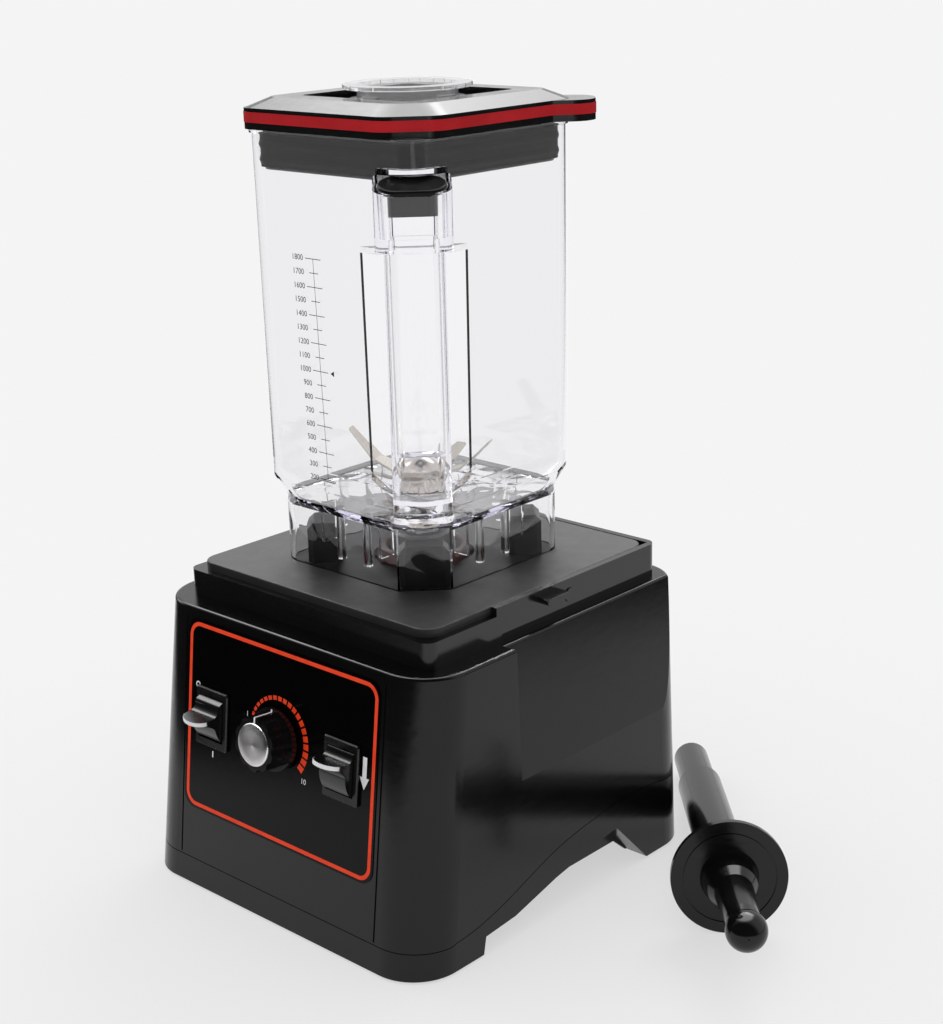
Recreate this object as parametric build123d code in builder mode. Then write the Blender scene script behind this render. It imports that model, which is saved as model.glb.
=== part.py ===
"""Countertop blender with a square clear jar, two-level lid, measuring cap and tamper.

Frame: origin on the ground under the motor axis, Z up, front (controls) towards -Y.
All sizes in millimetres.
"""
from math import cos, sin, radians, degrees, atan2, sqrt
import os

from build123d import *

os.makedirs("parts", exist_ok=True)

# ---------------------------------------------------------------- driving sizes
# lower housing
rim_z = 175.0              # top of the lower housing
pan_z = 1.5                # lower edge of the bottom pan
hw_bot = 120.0             # half width at the ground
side_draft = 4.5           # each side leans in by this much up to the rim
hw_top = hw_bot - side_draft
front_bot, front_lean = -138.0, 21.5   # sloping fascia
rear_bot, rear_lean = 116.0, 2.5
rear_top = rear_bot - rear_lean
corner_r = 30.0
wall = 2.6
deck_t = 2.8
seam_gap = 0.5             # open seam between the housing and the pan
recess_y = -46.0           # side recess starts here and runs to the rear
recess_x = hw_top - 8.2    # recessed half width at the rim
recess_z = rim_z - 80.0    # recess fades out here
ctl_z = rim_z - 63.5       # height of the control row

# raised top cover, mat and motor
ledge_z = rim_z + 15.5     # ledge of the raised top cover
mat_z = ledge_z + 5.0      # top of the rubber mat, the jar stands here
block_x = hw_top - 14.7    # top cover half sizes
block_y = rear_top - 12.3
block_r = 7.0
lip_w = 4.3                # raised lip beside the mat
mat_fit = 0.3              # open joint round the mat
plate_half = hw_top - 23.5             # motor mounting plate
plate_z = rim_z - 14.8
motor_z = rim_z - 113.0    # underside of the lower bracket
plate_t = 3.0
shaft_r = 5.0
run_fit = 0.05             # running clearance of a shaft
press_fit = 0.02           # clearance of a pressed bore
body_gap = 0.3             # gap between curved faces of separate bodies

# jar
jar_half_top = 67.0
jar_half_bot = jar_half_top - 1.0
jar_wall = 3.0
jar_r = 14.0
jar_top = mat_z + 256.1
collar_half = jar_half_bot - 5.0
collar_z = mat_z + 35.5    # top of the collar under the shoulder
shoulder_z = collar_z + 5.0
bowl_z = collar_z + 5.0    # inside floor of the jar at the axis
corner_d = jar_half_top * sqrt(2)      # diagonal of the square corner
diag_lo = corner_d - 29.75             # corner cuts for the handle
diag_hi = corner_d - 19.75
diag_collar = corner_d - 24.35
grip_z0, neck_z = bowl_z + 14.0, jar_top - 18.6    # handle foot, top of the corner cut
step_z = neck_z - 43.0
blade_z = bowl_z + 9.0
hub_z = mat_z + 3.5        # underside of the drive hub

# lid
lid_half = jar_half_top + 2.0
lid_z1 = jar_top + 11.8
lid_top = lid_z1 + 5.6
cap_r = 28.7

fascia_slope = front_lean / rim_z
fascia_deg = degrees(atan2(front_lean, rim_z))


def half_width(z):
    return hw_bot + (hw_top - hw_bot) * z / rim_z


def front_y(z):
    return front_bot + fascia_slope * z


def rear_y(z):
    return rear_bot + (rear_top - rear_bot) * z / rim_z


def diag(d, u, z, quadrant=-45.0):
    """Point at distance d along a diagonal and u across it."""
    a = radians(quadrant)
    return (d * cos(a) - u * sin(a), d * sin(a) + u * cos(a), z)


def turn(d, u, z, quadrant=-45.0):
    return Location(diag(d, u, z, quadrant), (0, 0, quadrant))


fascia = Plane(
    origin=(0, front_y(ctl_z), ctl_z),
    x_dir=(1, 0, 0),
    z_dir=(0, -cos(radians(fascia_deg)), sin(radians(fascia_deg))),
)


def section(z, inset):
    """Rounded plan outline of the housing at a height, as a placed sketch."""
    w = 2 * (half_width(z) - inset)
    y0 = front_y(z) + inset
    y1 = rear_y(z) - inset
    with BuildSketch(Plane.XY.offset(z)) as s:
        with Locations((0, (y0 + y1) / 2)):
            RectangleRounded(w, y1 - y0, corner_r - inset)
    return s.sketch


# ------------------------------------------------------------ housing envelopes
with BuildPart() as outer_form:
    loft([section(pan_z, 0), section(rim_z, 0)])
    with BuildSketch(Plane.XZ.offset(-recess_y)):
        with BuildLine():
            Polyline(
                (recess_x, rim_z + 2),
                (150, rim_z + 2),
                (150, recess_z),
                (half_width(recess_z), recess_z),
                (recess_x, rim_z),
                close=True,
            )
        make_face()
        mirror(about=Plane.YZ)
    extrude(amount=-200, mode=Mode.SUBTRACT)

with BuildPart() as inner_form:
    loft([section(pan_z - 1, wall), section(rim_z - deck_t, wall)])
    with BuildSketch(Plane.XZ.offset(-recess_y + wall)):
        with BuildLine():
            Polyline(
                (recess_x - wall, rim_z + 2),
                (150, rim_z + 2),
                (150, recess_z - 1),
                (half_width(recess_z) - wall, recess_z - 1),
                (recess_x - wall, rim_z),
                close=True,
            )
        make_face()
        mirror(about=Plane.YZ)
    extrude(amount=-200, mode=Mode.SUBTRACT)

seam = [(-105, 19), (-50, 31), (-19, 41), (20, 47.5), (53, 50), (96, 46), (rear_bot + 9, 44)]
with BuildPart() as below_seam:
    with BuildSketch(Plane.YZ.offset(-150)):
        with BuildLine():
            Polyline(seam[-1], (seam[-1][0], -5), (front_bot - 12, -5), (front_bot - 12, 18),
                     (-110, 18), seam[0])
            Spline(*seam)
        make_face()
    extrude(amount=300)

# ---------------------------------------------------------------- housing shell
switch_x = {"power": -57.0, "pulse": 54.0}
switch_w, switch_h = 25.0, 31.0
bezel_w, bezel_h, bezel_t = 28.0, 36.0, 2.4
knob_v = 3.7               # knob axis above the control row
boss_x = hw_bot - 28
boss_xy = [(sx * boss_x, y) for y in (front_bot + 46, rear_bot - 40) for sx in (1, -1)]
floor_z, floor_t = 12.0, 2.5           # floor of the pan
floor_top = floor_z + floor_t
gland_x, gland_z = -62.0, 66.0
reset_x, reset_z = 58.0, 70.0
deck_open = 75.0
isolator_x = plate_half - 9
isolator_xy = [(sx * isolator_x, y) for y in (50, -66) for sx in (1, -1)]

with BuildPart() as housing_shell:
    add(outer_form.part)
    fillet(housing_shell.faces().sort_by(Axis.Z)[-1].edges(), radius=2.0)
    add(inner_form.part, mode=Mode.SUBTRACT)
    add(below_seam.part, mode=Mode.SUBTRACT)
    # deck opening under the top cover
    with BuildSketch(Plane.XY.offset(rim_z - deck_t - 1)):
        RectangleRounded(2 * deck_open, 2 * deck_open, 8)
    extrude(amount=deck_t + 2, mode=Mode.SUBTRACT)
    # upright grooves either side of the front panel
    with BuildSketch(fascia):
        with Locations((84, -18), (-84, -18)):
            Rectangle(1.2, 150)
    extrude(amount=-0.8, mode=Mode.SUBTRACT)
    with BuildSketch(fascia.offset(2)):
        with Locations((switch_x["power"], 0), (switch_x["pulse"], 0)):
            Rectangle(switch_w + 0.4, switch_h + 0.4)
        with Locations((0, knob_v)):
            Circle(5.2)
    extrude(amount=-8, mode=Mode.SUBTRACT)
    # rear openings for the cord bushing and the reset button
    with BuildSketch(Plane.XZ.offset(-110)):
        with Locations((gland_x, gland_z)):
            Circle(8.0)
        with Locations((reset_x, reset_z)):
            Circle(6.5)
    extrude(amount=-10, mode=Mode.SUBTRACT)
    # long screw bosses hanging from the deck
    with BuildSketch(Plane.XY.offset(floor_top)):
        with Locations(*boss_xy):
            Circle(5.0)
    extrude(amount=rim_z - deck_t - floor_top + 0.5)
    with BuildSketch(Plane.XY.offset(floor_top)):
        with Locations(*boss_xy):
            Circle(1.7)
    extrude(amount=16, mode=Mode.SUBTRACT)
    # stiffening ribs behind the fascia
    with BuildSketch(fascia.offset(-wall + 0.4)):
        with Locations((30, 0), (-30, 0)):
            Rectangle(2, 90)
    extrude(amount=-14)

# ------------------------------------------------------------------- bottom pan
foot_xy = [(sx * (hw_bot - inset), y) for inset, y in ((30, front_bot + 26), (32, rear_bot - 19))
           for sx in (1, -1)]
foot_name = ["foot_fr", "foot_fl", "foot_rr", "foot_rl"]
tub_x = hw_bot - 16.0
arch = [(-84, 1.5), (-81.5, 12.0), (-56, 14), (-19.5, 23), (27, 31), (38, 32.4), (67, 1.5)]

with BuildPart() as bottom_pan:
    add(outer_form.part)
    add(inner_form.part, mode=Mode.SUBTRACT)
    add(below_seam.part.moved(Location((0, 0, -seam_gap))), mode=Mode.INTERSECT)
    # side arches between the front and rear feet
    with BuildSketch(Plane.YZ.offset(-150)):
        with BuildLine():
            Polyline((-84, -3), *arch, (67, -3), close=True)
        make_face()
    extrude(amount=300, mode=Mode.SUBTRACT)

with BuildPart() as pan_inside:
    # sloping ledges that follow the arch, tub walls and floor
    with BuildSketch(Plane.YZ.offset(-150)):
        with BuildLine():
            Polyline(
                (-84, 1.5), (-81.5, 12.0), (-56, 14), (-19.5, 23), (27, 31), (38, 32.4),
                (67, 1.5), (69.6, 1.5), (69.6, 4), (39.6, 35), (26, 33.6), (-20.2, 25.6),
                (-56.5, 16.6), (-83.8, 14.5), (-86.6, 12), (-86.6, 1.5), close=True,
            )
        make_face()
    extrude(amount=300)
    with BuildSketch(Plane.XY.offset(-2)):
        Rectangle(2 * tub_x - 5, 400)
    extrude(amount=60, mode=Mode.SUBTRACT)
    # tub side walls under the ledges
    with BuildSketch(Plane.YZ.offset(-tub_x)):
        with BuildLine():
            Polyline(
                (-86.6, 1.5), (-86.6, 12), (-83.8, 14.5), (-56.5, 16.6), (-20.2, 25.6),
                (26, 33.6), (39.6, 35), (69.6, 4), (69.6, 1.5), (66, 1.5), (54, 12),
                (-81.5, 12), (-84, 1.5), close=True,
            )
        make_face()
    extrude(amount=2.5)
    with BuildSketch(Plane.YZ.offset(tub_x)):
        with BuildLine():
            Polyline(
                (-86.6, 1.5), (-86.6, 12), (-83.8, 14.5), (-56.5, 16.6), (-20.2, 25.6),
                (26, 33.6), (39.6, 35), (69.6, 4), (69.6, 1.5), (66, 1.5), (54, 12),
                (-81.5, 12), (-84, 1.5), close=True,
            )
        make_face()
    extrude(amount=-2.5)
    with BuildSketch(Plane.XY.offset(floor_z)):
        with Locations((0, -8.5)):
            Rectangle(2 * tub_x, 157)
        with Locations((0, -84)):
            Rectangle(2 * hw_bot + 20, -84 - front_bot + 2, align=(Align.CENTER, Align.MAX))
        with Locations((0, 62)):
            Rectangle(2 * hw_bot + 20, rear_bot + 6 - 62, align=(Align.CENTER, Align.MIN))
    extrude(amount=floor_t)
    with BuildSketch(Plane.XY.offset(3)):
        with Locations(*foot_xy):
            Circle(8.0)
    extrude(amount=10)
    # keep only what lies inside the envelope
    add(inner_form.part, mode=Mode.INTERSECT)

vent_y = [-30 + 10 * i for i in range(7)]
with BuildPart() as bottom_pan_whole:
    add(bottom_pan.part)
    add(pan_inside.part)
    # air slots in the floor, in two banks
    with BuildSketch(Plane.XY.offset(10)):
        with Locations(*[(sx * 34, y) for y in vent_y for sx in (-1, 1)]):
            SlotOverall(52, 4.5)
    extrude(amount=8, mode=Mode.SUBTRACT)
    with BuildSketch(Plane.XY.offset(10)):
        with Locations(*boss_xy):
            Circle(1.9)
    extrude(amount=8, mode=Mode.SUBTRACT)
    # centre pad under the motor, flush with the feet
    with BuildSketch(Plane.XY):
        Circle(6.5)
    extrude(amount=floor_z + 1)
    # standoffs for the control board
    with BuildSketch(Plane.XY.offset(floor_top)):
        with Locations((-34, -112), (34, -112), (-34, -74), (34, -74)):
            Circle(3.0)
    extrude(amount=8)
bottom_pan = bottom_pan_whole

feet = []
for (fx, fy_), nm in zip(foot_xy, foot_name):
    with BuildPart() as foot:
        with BuildSketch():
            with Locations((fx, fy_)):
                Circle(10.5)
        extrude(amount=7)
        with BuildSketch(Plane.XY.offset(3)):
            with Locations((fx, fy_)):
                Circle(8.0 + run_fit)
        extrude(amount=5, mode=Mode.SUBTRACT)
        chamfer(foot.faces().sort_by(Axis.Z)[0].edges(), length=1.0)
    feet.append((nm, foot))

with BuildPart() as pan_screws:
    with BuildSketch(Plane.XY.offset(9.6)):
        with Locations(*boss_xy):
            Circle(3.6)
    extrude(amount=2.4)
    with BuildSketch(Plane.XY.offset(9.6)):
        with Locations(*boss_xy):
            Rectangle(4.6, 0.9)
            Rectangle(0.9, 4.6)
    extrude(amount=1.2, mode=Mode.SUBTRACT)
    with BuildSketch(Plane.XY.offset(12)):
        with Locations(*boss_xy):
            Circle(1.65)
    extrude(amount=16)

# -------------------------------------------------------------------- top cover
with BuildPart() as top_cover:
    with BuildSketch(Plane.XY.offset(rim_z)):
        RectangleRounded(2 * block_x, 2 * block_y, block_r)
    extrude(amount=ledge_z - rim_z)
    # raised lip level with the mat, right rear and along the back
    with BuildSketch(Plane.XY.offset(ledge_z)):
        RectangleRounded(2 * block_x, 2 * block_y, block_r)
        with Locations((block_x - lip_w + 0.1, block_y - lip_w)):
            Rectangle(300, 300, align=(Align.MAX, Align.MAX), mode=Mode.SUBTRACT)
        with Locations((0, recess_y)):
            Rectangle(300, 300, align=(Align.CENTER, Align.MAX), mode=Mode.SUBTRACT)
    extrude(amount=mat_z - ledge_z)
    with BuildSketch(Plane.XY.offset(rim_z)):
        RectangleRounded(2 * block_x - 5, 2 * block_y - 5, block_r - 2.5)
    extrude(amount=ledge_z - rim_z - 3, mode=Mode.SUBTRACT)
    with BuildSketch(Plane.XY.offset(ledge_z - 4)):
        Circle(36)
    extrude(amount=6, mode=Mode.SUBTRACT)
    # shallow step low on both sides, behind the front corners
    with BuildSketch(Plane.XY.offset(rim_z)):
        with Locations((block_x, 30), (-block_x, 30)):
            Rectangle(2.4, 144)
    extrude(amount=4.0, mode=Mode.SUBTRACT)
    # side lugs with their round bosses
    with BuildSketch(Plane.YZ.offset(-block_x - 7.5)):
        with Locations((0, ledge_z - 0.9)):
            SlotOverall(21, 3.6)
    extrude(amount=7.5)
    with BuildSketch(Plane.YZ.offset(block_x)):
        with Locations((0, ledge_z - 0.9)):
            SlotOverall(21, 3.6)
    extrude(amount=7.5)
    with BuildSketch(Plane.YZ.offset(block_x - 1)):
        with Locations((17.5, ledge_z - 5.1)):
            Circle(4.2)
    extrude(amount=1.8)
    with BuildSketch(Plane.YZ.offset(-block_x - 0.8)):
        with Locations((17.5, ledge_z - 5.1)):
            Circle(4.2)
    extrude(amount=1.8)
    # locating ribs that drop into the deck opening
    with BuildSketch(Plane.XY.offset(rim_z - 2)):
        with Locations((0, deck_open - 2), (0, -deck_open + 2)):
            Rectangle(60, 2.4)
    extrude(amount=ledge_z - rim_z)

mat_x0, mat_x1 = -block_x + 4.8, block_x - lip_w + 0.1 - mat_fit
mat_y0, mat_y1 = -block_y + 5.1, block_y - lip_w - mat_fit
with BuildPart() as top_mat:
    with BuildSketch(Plane.XY.offset(ledge_z)):
        with Locations(((mat_x0 + mat_x1) / 2, (mat_y0 + mat_y1) / 2)):
            RectangleRounded(mat_x1 - mat_x0, mat_y1 - mat_y0, 11)
    extrude(amount=mat_z - ledge_z)
    fillet(top_mat.faces().sort_by(Axis.Z)[-1].edges(), radius=1.0)
    with BuildSketch(Plane.XY.offset(ledge_z - 1)):
        Circle(30)
    extrude(amount=8, mode=Mode.SUBTRACT)

post_quad = {"post_fr": -45.0, "post_rr": 45.0, "post_rl": 135.0, "post_fl": -135.0}
post_out = {"post_fr": diag_collar - 4.8, "post_rr": corner_d - 24.75,
            "post_rl": corner_d - 24.75, "post_fl": corner_d - 26.75}
post_deep, post_wide, post_high = 20.0, 29.0, 24.0
posts = []
for nm, quad in post_quad.items():
    with BuildPart() as post:
        with Locations(turn(post_out[nm] - post_deep / 2, 0, mat_z, quad)):
            Box(post_deep, post_wide, post_high, align=(Align.CENTER, Align.CENTER, Align.MIN))
        chamfer(post.edges().filter_by(Axis.Z), length=3.0)
        chamfer(post.faces().sort_by(Axis.Z)[-1].edges(), length=3.5)
    posts.append((nm, post))

with BuildPart() as drip_ring:
    with BuildSketch(Plane.XY.offset(ledge_z - 3)):
        Circle(35.8)
        Circle(22.0, mode=Mode.SUBTRACT)
    extrude(amount=3.0)
    with BuildSketch(Plane.XY.offset(ledge_z - 3)):
        Circle(26.5)
        Circle(22.0, mode=Mode.SUBTRACT)
    extrude(amount=14.5)
    chamfer(drip_ring.faces().sort_by(Axis.Z)[-1].edges(), length=0.8)

# --------------------------------------------------------------- front controls
with BuildPart() as control_label:
    with BuildSketch(fascia):
        with Locations((-0.7, -1.7)):
            RectangleRounded(163, 119, 9)
        with Locations((switch_x["power"], 0), (switch_x["pulse"], 0)):
            Rectangle(switch_w + 0.4, switch_h + 0.4, mode=Mode.SUBTRACT)
        with Locations((0, knob_v)):
            Circle(5.2, mode=Mode.SUBTRACT)
    extrude(amount=0.5)

pivot_h = -3.0
paddle_w, paddle_r = 21.0, 13.9        # width, radius of its ends about the pivot
switches = []
paddles = []
lip_end = 19.0             # how far the finger lip stands out of the fascia
lip_round = 6.5            # depth of the rounded front of the lip
paddle_turn = {"power": 8.0, "pulse": -8.0}
for nm in ("power", "pulse"):
    cx = switch_x[nm]
    with BuildPart() as sw:
        with BuildSketch(fascia.offset(0.5)):
            with Locations((cx, 0)):
                RectangleRounded(bezel_w, bezel_h, 1.6)
        extrude(amount=bezel_t)
        chamfer(sw.faces().sort_by(Axis.Y)[0].edges(), length=0.7)
        with BuildSketch(fascia.offset(0.5)):
            with Locations((cx, 0)):
                Rectangle(switch_w, switch_h)
        extrude(amount=-27)
        # a deep well with a narrower mouth
        with BuildSketch(fascia.offset(1.7)):
            with Locations((cx, 0)):
                Rectangle(paddle_w + 1.0, 2 * paddle_r + 0.6)
        extrude(amount=-17.7, mode=Mode.SUBTRACT)
        with BuildSketch(fascia.offset(1.6)):
            with Locations((cx, 0)):
                Rectangle(paddle_w + 1.0, 26.6)
        extrude(amount=3, mode=Mode.SUBTRACT)
        # three blade terminals
        with BuildSketch(fascia.offset(-26.5)):
            with Locations((cx, -9), (cx, 0), (cx, 9)):
                Rectangle(6.3, 0.8)
        extrude(amount=-9)
    switches.append((nm + "_switch", sw))
    pivot = fascia.offset(pivot_h) * Location((cx, 0, 0))
    side = Plane(origin=pivot.position, x_dir=fascia.y_dir, z_dir=(1, 0, 0))
    level = Plane(origin=pivot.position, x_dir=(1, 0, 0), z_dir=fascia.y_dir)
    with BuildPart() as pd:
        with BuildSketch(side.offset(-paddle_w / 2)):
            with BuildLine():
                # end about the pivot, rolled shoulder, hollow sweep, finger lip, belly, back
                end = (12.3, sqrt(paddle_r**2 - 12.3**2))
                ThreePointArc((paddle_r, 0), (13.5, sqrt(paddle_r**2 - 13.5**2)), end)
                ThreePointArc(end, (11.6, 7.5), (10.0, 7.9))
                ThreePointArc((10.0, 7.9), (7.0, 9.5), (5.9, 12.8))
                Polyline((5.9, 12.8), (5.0, lip_end - pivot_h), (2.6, lip_end - pivot_h))
                ThreePointArc((2.6, lip_end - pivot_h), (1.4, 15.0), (-1.6, 11.6))
                ThreePointArc((-1.6, 11.6), (-7.4, 9.9), (-end[0], end[1]))
                ThreePointArc((-end[0], end[1]), (-13.5, sqrt(paddle_r**2 - 13.5**2)), (-paddle_r, 0))
                Polyline((-paddle_r, 0), (-9, -2), (0, -6), (9, -2), (paddle_r, 0))
            make_face()
        extrude(amount=paddle_w)
        # the lip ends in a flat D seen from above
        with BuildSketch(level.offset(-20)):
            with Locations((0, -lip_end + pivot_h + lip_round)):
                Ellipse(paddle_w / 2, lip_round)
                Rectangle(paddle_w, 60, align=(Align.CENTER, Align.MIN))
        extrude(amount=40, mode=Mode.INTERSECT)
    rocked = pd.part.rotate(Axis(pivot.position, (1, 0, 0)), paddle_turn[nm])
    with BuildPart() as pd2:
        add(rocked)
    paddles.append((nm + "_paddle", pd2))

with BuildPart() as knob_body:
    with BuildSketch(fascia.offset(3)):
        with Locations((0, knob_v)):
            Circle(18.6)
    extrude(amount=3.2)
    with BuildSketch(fascia.offset(6.0)):
        with Locations((0, knob_v)):
            Circle(16.6)
            with PolarLocations(18.6, 10):
                Circle(3.4, mode=Mode.SUBTRACT)
    extrude(amount=13.0, taper=2.0)
    with BuildSketch(fascia.offset(3)):
        with Locations((0, knob_v)):
            Circle(3.0 + 0.02)
    extrude(amount=12, mode=Mode.SUBTRACT)
    with BuildSketch(fascia.offset(18.2)):
        with Locations((0, knob_v)):
            Circle(12.7)
    extrude(amount=2, mode=Mode.SUBTRACT)

with BuildPart() as knob_cap:
    with BuildSketch(fascia.offset(18.2)):
        with Locations((0, knob_v)):
            Circle(12.7)
    extrude(amount=1.9)
    chamfer(knob_cap.faces().sort_by(Axis.Y)[0].edges(), length=0.5)

with BuildPart() as speed_pot:
    with BuildSketch(fascia.offset(-wall)):
        with Locations((0, knob_v)):
            Circle(9.5)
            Circle(3.0 + run_fit, mode=Mode.SUBTRACT)
    extrude(amount=-9)
    with BuildSketch(fascia.offset(-wall)):
        with Locations((0, knob_v)):
            Circle(4.6)
            Circle(3.0 + run_fit, mode=Mode.SUBTRACT)
    extrude(amount=wall + 2.2)
    with BuildSketch(fascia.offset(-wall - 4)):
        with Locations((-4, knob_v - 12), (0, knob_v - 12), (4, knob_v - 12)):
            Rectangle(1.4, 8)
    extrude(amount=-0.8)

with BuildPart() as pot_shaft:
    with BuildSketch(fascia.offset(-wall - 10.5)):
        with Locations((0, knob_v)):
            Circle(3.0)
    extrude(amount=wall + 10.5 + 14.6)

with BuildPart() as control_board:
    with Locations((0, -93, 22.5)):
        Box(84, 52, 1.6, align=(Align.CENTER, Align.CENTER, Align.MIN))
    with Locations((-24, -84, 24.1)):
        Cylinder(8, 24, align=(Align.CENTER, Align.CENTER, Align.MIN))
    with Locations((18, -100, 24.1)):
        Box(20, 12, 9, align=(Align.CENTER, Align.CENTER, Align.MIN))
    with Locations((-20, -107, 24.1)):
        Box(26, 8, 10, align=(Align.CENTER, Align.CENTER, Align.MIN))

with BuildPart() as heat_sink:
    with Locations((24, -82, 24.1)):
        Box(30, 2.4, 30, align=(Align.CENTER, Align.CENTER, Align.MIN))
    with Locations(*[(24 - 13 + 6.5 * i, -77, 24.1) for i in range(5)]):
        Box(1.6, 8, 30, align=(Align.CENTER, Align.CENTER, Align.MIN))

with BuildPart() as breaker:
    with BuildSketch(Plane.XZ.offset(-rear_y(reset_z) + wall + 0.6)):
        with Locations((reset_x, reset_z)):
            Rectangle(22, 34)
    extrude(amount=24)
    with BuildSketch(Plane.XZ.offset(-rear_y(reset_z) + wall + 0.6)):
        with Locations((reset_x, reset_z)):
            Circle(6.3)
            Circle(4.2 + 0.2, mode=Mode.SUBTRACT)
    extrude(amount=-(wall + 2.2))
    with BuildSketch(Plane.XZ.offset(-rear_y(reset_z) + wall + 0.6)):
        with Locations((reset_x, reset_z)):
            Circle(4.2 + 0.2)
    extrude(amount=9, mode=Mode.SUBTRACT)

with BuildPart() as reset_button:
    with BuildSketch(Plane.XZ.offset(-rear_y(reset_z) - 4.6)):
        with Locations((reset_x, reset_z)):
            Circle(4.2)
    extrude(amount=11)
    fillet(reset_button.faces().sort_by(Axis.Y)[-1].edges(), radius=1.0)

with BuildPart() as cord_gland:
    with BuildSketch(Plane.XZ.offset(-rear_y(gland_z) - 0.25)):
        with Locations((gland_x, gland_z)):
            Circle(11.0)
    extrude(amount=-4)
    with BuildSketch(Plane.XZ.offset(-rear_y(gland_z) - 0.25)):
        with Locations((gland_x, gland_z)):
            Circle(7.9)
    extrude(amount=9)
    with BuildSketch(Plane.XZ.offset(-rear_y(gland_z) - 20)):
        with Locations((gland_x, gland_z)):
            Circle(4.0)
    extrude(amount=40, mode=Mode.SUBTRACT)

# ------------------------------------------------------------------ motor frame
bracket_t = 8.0
upper_z = plate_z - bracket_t - 0.2
with BuildPart() as mounting_plate:
    with BuildSketch(Plane.XY.offset(plate_z)):
        RectangleRounded(2 * plate_half, 2 * plate_half, 10)
        Circle(30, mode=Mode.SUBTRACT)
        with PolarLocations(62, 4):
            Circle(14, mode=Mode.SUBTRACT)
        with Locations(*boss_xy):
            Circle(9, mode=Mode.SUBTRACT)
    extrude(amount=plate_t)

with BuildPart() as isolators:
    with BuildSketch(Plane.XY.offset(plate_z + plate_t)):
        with Locations(*isolator_xy):
            Circle(7.0)
    extrude(amount=rim_z - deck_t - plate_z - plate_t)

with BuildPart() as upper_bracket:
    with BuildSketch(Plane.XY.offset(upper_z)):
        Circle(56)
        Circle(13.0, mode=Mode.SUBTRACT)
        with PolarLocations(34, 4, start_angle=45):
            Circle(11, mode=Mode.SUBTRACT)
    extrude(amount=plate_z - upper_z)

with BuildPart() as lower_bracket:
    with BuildSketch(Plane.XY.offset(motor_z)):
        Circle(56)
        Circle(13.0, mode=Mode.SUBTRACT)
        with PolarLocations(34, 4, start_angle=45):
            Circle(13, mode=Mode.SUBTRACT)
    extrude(amount=bracket_t)
    with BuildSketch(Plane.XY.offset(motor_z + bracket_t)):
        with PolarLocations(51.4, 4, start_angle=45):
            Circle(4.2)
    extrude(amount=upper_z - motor_z - bracket_t)
    # brush holders either side of the commutator
    with BuildSketch(Plane.XY.offset(motor_z + bracket_t)):
        with Locations((0, 30), (0, -30)):
            Rectangle(14, 26)
            Rectangle(8.2, 26, mode=Mode.SUBTRACT)
    extrude(amount=16)

with BuildPart() as stator_core:
    with BuildSketch(Plane.XY.offset(motor_z + 32)):
        Circle(46.5)
        Circle(28.0, mode=Mode.SUBTRACT)
        with Locations((31, 0), (-31, 0)):
            Rectangle(11, 34, mode=Mode.SUBTRACT)
    extrude(amount=44)

with BuildPart() as field_coils:
    for sx in (1, -1):
        with Locations((sx * 31.6, 0, motor_z + 54)):
            Box(8.6, 33.4, 66)
            Box(8.6, 15, 48, mode=Mode.SUBTRACT)

bearings = []
for nm, z0 in (("upper_bearing", upper_z), ("lower_bearing", motor_z)):
    with BuildPart() as brg:
        with BuildSketch(Plane.XY.offset(z0)):
            Circle(12.95)
            Circle(shaft_r + run_fit, mode=Mode.SUBTRACT)
        extrude(amount=bracket_t)
        with BuildSketch(Plane.XY.offset(z0 + bracket_t - 0.8)):
            Circle(10.6)
            Circle(7.4, mode=Mode.SUBTRACT)
        extrude(amount=2, mode=Mode.SUBTRACT)
    bearings.append((nm, brg))

with BuildPart() as brushes:
    with Locations((0, 26.0, motor_z + 17), (0, -26.0, motor_z + 17)):
        Box(8.0, 25.0, 8.0)

# ------------------------------------------------------------------ motor rotor
socket_z0, socket_z1 = rim_z + 8, mat_z + 15
drive_z = mat_z + 2.5      # floor of the socket, end of the shaft
shaft_z0 = motor_z - 23
with BuildPart() as motor_shaft:
    with BuildSketch(Plane.XY.offset(shaft_z0)):
        Circle(shaft_r)
    extrude(amount=drive_z - shaft_z0)

with BuildPart() as armature:
    with BuildSketch(Plane.XY.offset(motor_z + 34)):
        Circle(27.4)
        with PolarLocations(27.4, 12):
            Rectangle(9, 2.2, mode=Mode.SUBTRACT)
        Circle(shaft_r + press_fit, mode=Mode.SUBTRACT)
    extrude(amount=40)
    with BuildSketch(Plane.XY.offset(motor_z + 74)):
        Circle(21)
        Circle(shaft_r + press_fit, mode=Mode.SUBTRACT)
    extrude(amount=9)
    with BuildSketch(Plane.XY.offset(motor_z + 27)):
        Circle(20)
        Circle(shaft_r + press_fit, mode=Mode.SUBTRACT)
    extrude(amount=7)

with BuildPart() as commutator:
    with BuildSketch(Plane.XY.offset(motor_z + 10)):
        Circle(13.2)
        with PolarLocations(13.2, 12):
            Rectangle(1.6, 0.7, mode=Mode.SUBTRACT)
        Circle(shaft_r + press_fit, mode=Mode.SUBTRACT)
    extrude(amount=15)

with BuildPart() as cooling_fan:
    with BuildSketch(Plane.XY.offset(motor_z - 6)):
        Circle(44)
        Circle(shaft_r + press_fit, mode=Mode.SUBTRACT)
    extrude(amount=2)
    with BuildSketch(Plane.XY.offset(motor_z - 20)):
        Circle(10)
        Circle(shaft_r + press_fit, mode=Mode.SUBTRACT)
    extrude(amount=14)
    with BuildSketch(Plane.XY.offset(motor_z - 19)):
        with PolarLocations(26.5, 9):
            Rectangle(35, 1.6)
    extrude(amount=13)

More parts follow.
